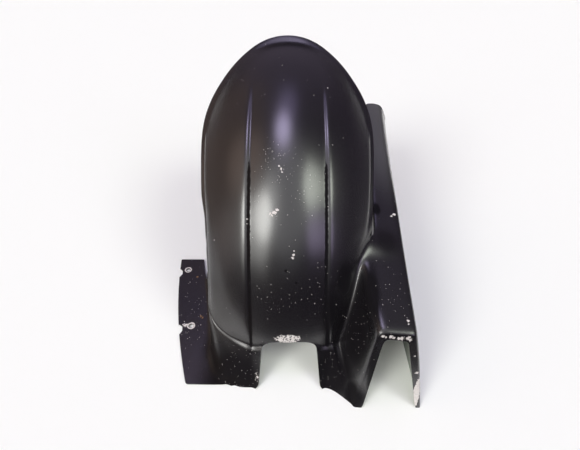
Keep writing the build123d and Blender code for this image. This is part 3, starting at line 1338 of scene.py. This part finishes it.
@dataclass(frozen=True)
class Spot:
    """A round mark on the surface, in metres."""

    centre: Point
    radius: float

    def mask(self, surface: Surface) -> Socket:
        """Adds the mark's ragged mask to a surface."""
        return surface.group(
            surface.effects.chip, Place=surface.place, Centre=self.centre, Radius=self.radius
        )


@dataclass(frozen=True)
class Region:
    """A soft part of the surface, in metres, and how much of something it has."""

    centre: Point
    radii: Point
    amount: float

    def mask(self, surface: Surface) -> Socket:
        """Adds the part's soft mask, from 0 to 1, to a surface."""
        return surface.group(
            surface.effects.patch, Place=surface.place, Centre=self.centre, Radii=self.radii
        )

    def share(self, surface: Surface) -> Socket:
        """Adds the part's soft mask times its amount to a surface."""
        return surface.math("MULTIPLY", self.mask(surface), self.amount)


@dataclass(frozen=True)
class Dots:
    """Scattered dots: cells in a metre, the share of them with a dot, and a dot's size in its cell."""

    scale: float
    share: float
    size: float

    def mask(self, surface: Surface, amount: Value = 1.0) -> Socket:
        """Adds the dots' mask to a surface.

        Args:
            surface: The surface.
            amount: How much of the usual share there is.

        Returns:
            The mask.
        """
        kept = surface.math("MULTIPLY", amount, self.share)
        return surface.group(
            surface.effects.speckle, Place=surface.place, Scale=self.scale, Amount=kept, Size=self.size
        )


@dataclass(frozen=True)
class PaintFinish:
    """Worn black paint over pale laminate: chips, stone speckles, scuffs and dull places.

    Lengths are in metres. A pair named for a grain is its cells in a metre and its detail, and a pair named
    for an edge is where a mask starts and where it is whole.
    """

    name: str = "worn_black_paint"
    black: Color = (0.0042, 0.0034, 0.0048, 1)
    # The next colour is a painted reflection tint on the left side, faded in by side_edge and clouded by
    # its grain.
    reflection_brown: Color = (0.0075, 0.0048, 0.0036, 1)
    side_edge: Pair = (0.02, -0.09)
    reflection_brown_grain: Pair = (9, 4)
    reflection_brown_edge: Pair = (0.3, 0.6)
    bare: Color = (0.84, 0.81, 0.78, 1)
    worn: Color = (0.60, 0.55, 0.52, 1)
    worn_grain: Pair = (400, 3)
    rust: Color = (0.22, 0.13, 0.07, 1)
    roughness: float = 0.5
    dull_roughness: float = 0.75
    smear_grain: Pair = (35, 5)
    smear: float = 0.25
    specular: float = 0.12
    coat_roughness: float = 0.26
    coat_ior: float = 1.8
    wave_grain: Pair = (45, 2)
    wave: float = 0.6
    chip_depth: float = 0.5
    bump_strength: float = 0.25
    bump_height: float = 0.0006
    grit_grain: Pair = (520, 4)
    scuff_reach: float = 0.9
    scuff_edge: Pair = (1.02, 1.08)
    ring: float = 0.0058
    ring_ragged: float = 0.0016
    ring_edge: Pair = (0.0012, 0.0008)
    groove_grain: Pair = (260, 3)
    groove_ragged: float = 0.5
    groove_edge: Pair = (0.3, 0.6)
    stray: float = 0.03
    speckles: tuple[Dots, ...] = (Dots(400.0, 0.55, 0.165), Dots(190.0, 0.13, 0.14))
    chips: tuple[Spot, ...] = (
        Spot((-0.0131, -0.0855, 0.2165), 0.0016),
        Spot((-0.0083, -0.0849, 0.2183), 0.0026),
        Spot((-0.0047, -0.0830, 0.2207), 0.0019),
        Spot((-0.0107, -0.0871, 0.2155), 0.0013),
        Spot((-0.0024, -0.0415, 0.2557), 0.0012),
        Spot((0.0, -0.0446, 0.2535), 0.0016),
        Spot((0.0013, -0.0480, 0.2515), 0.0010),
        Spot((0.0158, -0.1160, 0.1839), 0.0011),
        Spot((0.0152, -0.1190, 0.1801), 0.0016),
        Spot((0.0146, -0.1211, 0.1770), 0.0016),
        Spot((0.1536, -0.0269, 0.1610), 0.0018),
        Spot((0.1579, -0.0235, 0.1608), 0.0022),
        Spot((0.1506, -0.1788, 0.1300), 0.0017),
        Spot((0.1509, -0.1829, 0.1300), 0.0012),
        Spot((0.1191, -0.1960, 0.1243), 0.0021),
        Spot((0.1225, -0.1968, 0.1234), 0.0017),
        Spot((0.1283, -0.1964, 0.1238), 0.0026),
        Spot((0.1322, -0.1961, 0.1220), 0.0019),
        Spot((0.1381, -0.1967, 0.1213), 0.0027),
        Spot((0.1416, -0.1967, 0.1213), 0.0029),
        Spot((0.1486, -0.1964, 0.1216), 0.0028),
        Spot((0.1514, -0.1971, 0.1185), 0.0022),
        Spot((0.1612, -0.2033, 0.0929), 0.0012),
        Spot((0.1679, -0.2106, 0.0649), 0.0020),
        Spot((-0.0325, -0.1924, 0.0180), 0.0017),
        Spot((0.0626, 0.0820, 0.2989), 0.0010),
        Spot((-0.0866, -0.0846, 0.1711), 0.0008),
        Spot((-0.0417, -0.0837, 0.2067), 0.0010),
        Spot((-0.0417, -0.0879, 0.2022), 0.0007),
    )
    # Painted sheen: a paler grey on the guard's rear top stands in for the reflections there.
    painted_sheen: Color = (0.100, 0.100, 0.097, 1)
    painted_sheens: tuple[Region, ...] = (
        Region((0.1520, 0.1900, 0.1950), (0.0600, 0.2400, 0.0700), 0.85),
    )
    rusts: tuple[Spot, ...] = (
        Spot((-0.1473, -0.0058, 0.0028), 0.0018),
        Spot((-0.1285, -0.0855, 0.0028), 0.0018),
        Spot((-0.1255, -0.0880, 0.0028), 0.0016),
    )
    scuffs: tuple[Region, ...] = (
        Region((0.0080, -0.1700, 0.0755), (0.0350, 0.0150, 0.0140), 0.60),
        Region((0.1730, -0.2190, 0.0260), (0.0085, 0.0300, 0.0600), 0.74),
        Region((-0.0345, -0.1960, 0.0250), (0.0080, 0.0150, 0.0300), 0.52),
        Region((-0.1500, -0.1015, 0.0020), (0.0100, 0.0080, 0.0080), 0.58),
        Region((-0.1400, -0.1027, 0.0020), (0.0085, 0.0075, 0.0080), 0.56),
        Region((-0.1790, 0.0060, 0.0020), (0.0050, 0.0090, 0.0080), 0.58),
    )
    showers: tuple[Region, ...] = (
        Region((-0.0040, -0.0430, 0.2560), (0.0340, 0.0480, 0.0480), 1.60),
        Region((0.0110, -0.0600, 0.2420), (0.0600, 0.0700, 0.0700), 0.60),
        Region((-0.0500, -0.1850, 0.0270), (0.0500, 0.0600, 0.0500), 0.80),
        Region((0.0650, -0.1850, 0.0290), (0.0300, 0.0500, 0.0400), 0.80),
        Region((0.1360, -0.1480, 0.1380), (0.0340, 0.0700, 0.0400), 0.50),
        Region((0.1000, -0.1700, 0.0950), (0.0300, 0.0600, 0.0700), 0.55),
        Region((0.0230, -0.1420, 0.1400), (0.0800, 0.0600, 0.0700), 0.40),
        Region((-0.1450, -0.1000, 0.0030), (0.0500, 0.1300, 0.0200), 0.40),
        Region((-0.0390, -0.1880, 0.0230), (0.0120, 0.0200, 0.0300), 0.95),
    )
    dulls: tuple[Region, ...] = (
        Region((0.0061, -0.1304, 0.1638), (0.0030, 0.0030, 0.0030), 0.9),
        Region((0.0183, -0.1379, 0.1502), (0.0026, 0.0026, 0.0026), 0.9),
        Region((0.0299, 0.2097, 0.3125), (0.0090, 0.0060, 0.0060), 0.7),
        Region((0.1333, -0.0151, 0.1638), (0.0090, 0.0160, 0.0120), 0.9),
        Region((0.0990, -0.1680, 0.0650), (0.0220, 0.0520, 0.0850), 0.95),
        Region((0.0640, -0.1950, 0.0250), (0.0500, 0.0600, 0.0640), 1.0),
        Region((-0.0660, -0.1900, 0.0100), (0.0700, 0.0800, 0.0720), 1.0),
        Region((0.1390, -0.0700, 0.1500), (0.0220, 0.0300, 0.0250), 0.60),
        Region((0.1130, -0.1430, 0.1390), (0.0130, 0.0800, 0.0260), 1.0),
        Region((0.0620, -0.1600, 0.1150), (0.0140, 0.0400, 0.0550), 1.0),
        Region((0.0810, -0.1250, 0.1400), (0.0160, 0.0340, 0.0340), 0.9),
        Region((-0.1080, -0.1500, 0.0350), (0.0220, 0.0700, 0.0500), 0.9),
        Region((0.1350, -0.1970, 0.1280), (0.0400, 0.0090, 0.0130), 0.5),
        Region((0.0075, 0.2150, 0.3150), (0.0900, 0.0260, 0.0260), 0.55),
        Region((-0.0900, -0.1300, 0.1000), (0.0400, 0.0600, 0.0600), 0.35),
        Region((0.0960, -0.2120, 0.0120), (0.0260, 0.0360, 0.0400), 1.0),
        Region((0.1130, -0.2000, 0.0500), (0.0100, 0.0400, 0.0800), 0.9),
    )

    def material(self, effects: Effects) -> bpy.types.Material:
        """Makes the material.

        Args:
            effects: The shared node groups.

        Returns:
            The material.
        """
        surface = Surface(self.name, effects)
        bare = self.bare_mask(surface)
        dull = self.dull_mask(surface)
        rust = surface.most([spot.mask(surface) for spot in self.rusts])
        pale = surface.blend(surface.grain(*self.worn_grain), self.bare, self.worn)
        color = surface.blend(bare, surface.blend(rust, self.paint(surface), self.rust), pale)
        smear = surface.math("SUBTRACT", surface.grain(*self.smear_grain), 0.5)
        dry = surface.math("MAXIMUM", bare, dull)
        rough = surface.fade(dry, 0.0, 1.0, self.roughness, self.dull_roughness)
        surface.set(
            Base_Color=color,
            Roughness=surface.math("ADD", rough, surface.math("MULTIPLY", smear, self.smear)),
            Coat_Weight=surface.math("SUBTRACT", 1.0, surface.most([bare, rust, dull])),
            Specular_IOR_Level=self.specular,
            Coat_Roughness=self.coat_roughness,
            Coat_IOR=self.coat_ior,
        )
        wave = surface.math("MULTIPLY", surface.grain(*self.wave_grain), self.wave)
        height = surface.math("SUBTRACT", wave, surface.math("MULTIPLY", bare, self.chip_depth))
        surface.bump(height, self.bump_strength, self.bump_height)
        return surface.material

    def paint(self, surface: Surface) -> Socket:
        """The colour of sound paint: black, with a painted reflection tint on the left and a painted pale
        sheen on the guard's rear.

        Args:
            surface: The material's surface.

        Returns:
            The colour.
        """
        side = surface.node("SeparateXYZ", {}, Vector=surface.place).outputs["X"]
        # Painted reflection: a tint on the left side, clouded by noise, stands in for the reflections
        # there.
        cloud = surface.fade(surface.grain(*self.reflection_brown_grain), *self.reflection_brown_edge)
        painted_reflection = surface.math("MULTIPLY", surface.fade(side, *self.side_edge), cloud)
        color = surface.blend(painted_reflection, self.black, self.reflection_brown)
        # Painted sheen: the guard's rear top is blended towards a paler grey.
        for part in self.painted_sheens:
            color = surface.blend(part.share(surface), color, self.painted_sheen)
        return color

    def bare_mask(self, surface: Surface) -> Socket:
        """Where the paint is gone.

        Args:
            surface: The material's surface.

        Returns:
            The mask.
        """
        masks = [spot.mask(surface) for spot in self.chips]
        grit = surface.grain(*self.grit_grain)
        for part in self.scuffs:
            away = surface.math("SUBTRACT", part.mask(surface), 1.0)
            worn = surface.math("ADD", grit, surface.math("MULTIPLY", away, self.scuff_reach))
            masks.append(surface.fade(worn, *(edge - part.amount for edge in self.scuff_edge)))
        flat = surface.vector("MULTIPLY", surface.place, (1, 1, 0))
        ragged = surface.math("MULTIPLY", grit, self.ring_ragged)
        for x, y in BOLT_HOLES:
            reach = surface.math("ADD", surface.vector("DISTANCE", flat, (x, y, 0)), ragged)
            ring = surface.math("ABSOLUTE", surface.math("SUBTRACT", reach, self.ring))
            masks.append(surface.fade(ring, *self.ring_edge))
        amount = surface.most([part.share(surface) for part in self.showers])
        amount = surface.math("MAXIMUM", amount, self.stray)
        masks += [dots.mask(surface, amount) for dots in self.speckles]
        return surface.most(masks)

    def dull_mask(self, surface: Surface) -> Socket:
        """Where the paint has lost its gloss: in the creases and in dirty places.

        Args:
            surface: The material's surface.

        Returns:
            The mask.
        """
        groove = surface.node("Attribute", {"attribute_name": GROOVE}).outputs["Fac"]
        grain = surface.math("SUBTRACT", surface.grain(*self.groove_grain), 0.5)
        ragged = surface.math("ADD", groove, surface.math("MULTIPLY", grain, self.groove_ragged))
        masks = [surface.fade(ragged, *self.groove_edge)]
        return surface.most(masks + [part.share(surface) for part in self.dulls])


@dataclass(frozen=True)
class LaminateFinish:
    """Pale unpainted laminate, darkened behind the mouth by painted shade.

    Lengths are in metres, and pairs are named as those of the paint.
    """

    name: str = "pale_laminate"
    color: Color = (0.40, 0.43, 0.38, 1)
    shade: Color = (0.30, 0.33, 0.28, 1)
    shade_grain: Pair = (22, 5)
    shade_edge: Pair = (0.35, 0.7)
    fleck: Color = (0.20, 0.21, 0.18, 1)
    flecks: Dots = Dots(90.0, 0.25, 0.12)
    # Painted shade: the laminate takes this dark colour from a little behind the mouth to the rear.
    painted_shade: Color = (0.085, 0.105, 0.09, 1)
    painted_shade_edge: Pair = (-0.19, -0.12)
    roughness: float = 0.55
    bump_grain: Pair = (190, 4)
    bump_strength: float = 0.35
    bump_height: float = 0.0008

    def material(self, effects: Effects) -> bpy.types.Material:
        """Makes the material.

        Args:
            effects: The shared node groups.

        Returns:
            The material.
        """
        surface = Surface(self.name, effects)
        cloud = surface.fade(surface.grain(*self.shade_grain), *self.shade_edge)
        color = surface.blend(cloud, self.color, self.shade)
        color = surface.blend(self.flecks.mask(surface), color, self.fleck)
        # Painted shade: darker from a little behind the mouth towards the rear.
        depth = surface.node("SeparateXYZ", {}, Vector=surface.place).outputs["Y"]
        color = surface.blend(surface.fade(depth, *self.painted_shade_edge), color, self.painted_shade)
        surface.set(Base_Color=color, Roughness=self.roughness)
        surface.bump(surface.grain(*self.bump_grain), self.bump_strength, self.bump_height)
        return surface.material


def toward(azimuth: float, elevation: float) -> Vector:
    """The way to something far off, by degrees from the rear to the right and over the floor."""
    turn, rise = math.radians(azimuth), math.radians(elevation)
    return Vector((math.sin(turn) * math.cos(rise), math.cos(turn) * math.cos(rise), math.sin(rise)))


@dataclass(frozen=True)
class SoftLamp:
    """A round soft lamp far away, with angles in degrees."""

    name: str
    azimuth: float
    elevation: float
    spread: float
    radiance: float
    color: Point
    distance: float = 2.5

    def build(self) -> None:
        """Hangs the lamp."""
        data = bpy.data.lights.new(self.name, "SUN")
        data.angle = math.radians(self.spread)
        data.energy = self.radiance * math.pi * math.sin(math.radians(self.spread) / 2) ** 2
        data.color = self.color
        lamp = bpy.data.objects.new(self.name, data)
        place = toward(self.azimuth, self.elevation)
        lamp.location = place * self.distance
        lamp.rotation_euler = (-place).to_track_quat("-Z", "Y").to_euler()
        bpy.context.scene.collection.objects.link(lamp)
        log.info("%s: %.2f W/m2", self.name, data.energy)


@dataclass(frozen=True)
class Glow:
    """A soft patch of light on the walls or the ceiling of the studio, with angles in degrees."""

    azimuth: float
    elevation: float
    inner: float
    outer: float
    color: Point


@dataclass(frozen=True)
class Studio:
    """Floor, light and camera.

    Lengths are in metres and angles in degrees. The sensor is in millimetres, and the photo's width and
    focal length are in pixels.
    """

    floor_color: Color = (0.935, 0.955, 0.905, 1)
    floor_roughness: float = 0.7
    floor_half: float = 3.0
    floor_front: float = -0.30
    floor_rear: float = 3.5
    sensor: float = 36.0
    photo_width: float = 580.0
    photo_focal: float = 405.0
    camera_place: Point = (0.010982, -0.451882, 0.540)
    camera_tilt: float = 47.0
    backdrop: Color = (0.93, 0.93, 0.93, 1)
    gloom: Point = (0.045, 0.038, 0.048)
    lamps: tuple[SoftLamp, ...] = (
        SoftLamp("left_lamp", -134, 37, 24, 9.0, (1.0, 1.0, 0.96)),
        SoftLamp("right_lamp", 120, 49, 24, 5.6, (0.94, 1.0, 0.88)),
    )
    glows: tuple[Glow, ...] = (
        Glow(180, 57, 15, 45, (0.95, 0.95, 0.97)),
        Glow(-140, 50, 4, 18, (1.4, 1.4, 1.35)),
        Glow(-40, 81, 2, 13, (5.4, 4.8, 7.2)),
        Glow(2, 66, 3, 14, (0.50, 0.42, 0.80)),
        Glow(-78, 24, 15, 52, (0.22, 0.16, 0.13)),
        Glow(-90, 43, 4, 21, (0.62, 0.46, 0.38)),
        Glow(-110, 8, 4, 19, (0.45, 0.41, 0.41)),
        Glow(80, 28, 15, 55, (0.04, 0.03, 0.05)),
        Glow(-137, 21, 4, 15, (2.6, 2.6, 2.5)),
        Glow(134, 27, 4, 14, (1.9, 1.6, 2.4)),
        Glow(0, 38, 10, 45, (0.11, 0.09, 0.13)),
    )

    def build(self) -> None:
        """Builds the whole studio."""
        self.floor()
        self.surroundings()
        for lamp in self.lamps:
            lamp.build()
        self.camera()

    def floor(self) -> None:
        """Adds the pale floor, a table that ends in front of the mudguard."""
        bpy.ops.object.select_all(action="DESELECT")
        bpy.ops.mesh.primitive_plane_add(size=2, location=(0, 0, 0))
        floor = bpy.context.active_object
        floor.name = "floor"
        for vertex in floor.data.vertices:
            vertex.co.x *= self.floor_half
            vertex.co.y = self.floor_rear if vertex.co.y > 0 else self.floor_front
        material = bpy.data.materials.new("pale_floor")
        material.use_nodes = True
        shader = material.node_tree.nodes["Principled BSDF"]
        shader.inputs["Base Color"].default_value = self.floor_color
        shader.inputs["Roughness"].default_value = self.floor_roughness
        shader.inputs["Specular IOR Level"].default_value = 0.0
        floor.data.materials.append(material)

    def surroundings(self) -> None:
        """Fills the world with the glows, behind a white backdrop for the camera."""
        world = bpy.context.scene.world or bpy.data.worlds.new("world")
        bpy.context.scene.world = world
        world.use_nodes = True
        graph = Graph(world.node_tree)
        graph.tree.nodes.clear()
        place = graph.node("TexCoord", {}).outputs["Generated"]
        total: Value = self.gloom
        for glow in self.glows:
            facing = graph.vector("DOT_PRODUCT", place, toward(glow.azimuth, glow.elevation))
            edge = [math.cos(math.radians(angle)) for angle in (glow.outer, glow.inner)]
            total = graph.vector("MULTIPLY_ADD", glow.color, graph.fade(facing, *edge), total)
        light = graph.node("Background", {}, Color=total)
        white = graph.node("Background", {}, Color=self.backdrop)
        seen = graph.node("LightPath", {}).outputs["Is Camera Ray"]
        choice = graph.node("MixShader", {}, Fac=seen)
        for socket, shader in zip(choice.inputs[1:], (light, white)):
            graph.feed(socket, shader.outputs["Background"])
        graph.node("OutputWorld", {}, Surface=choice.outputs["Shader"])

    def camera(self) -> None:
        """Adds the camera."""
        data = bpy.data.cameras.new("camera")
        data.sensor_width = self.sensor
        data.lens = self.sensor * self.photo_focal / self.photo_width
        camera = bpy.data.objects.new("camera", data)
        camera.location = self.camera_place
        camera.rotation_euler = (math.radians(self.camera_tilt), 0, 0)
        bpy.context.scene.collection.objects.link(camera)
        bpy.context.scene.camera = camera


def main() -> None:
    """Builds the scene."""
    logging.basicConfig(level=logging.INFO, format="%(message)s")
    bpy.context.scene.view_settings.view_transform = "Standard"
    effects = Effects()
    finishes = [PaintFinish().material(effects), LaminateFinish().material(effects)]
    shell = HuggerShell(ShellSizes()).build(finishes)
    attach(shell, "root")
    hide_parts("hugger_shell")
    Studio().build()


if __name__ == "__main__":
    main()
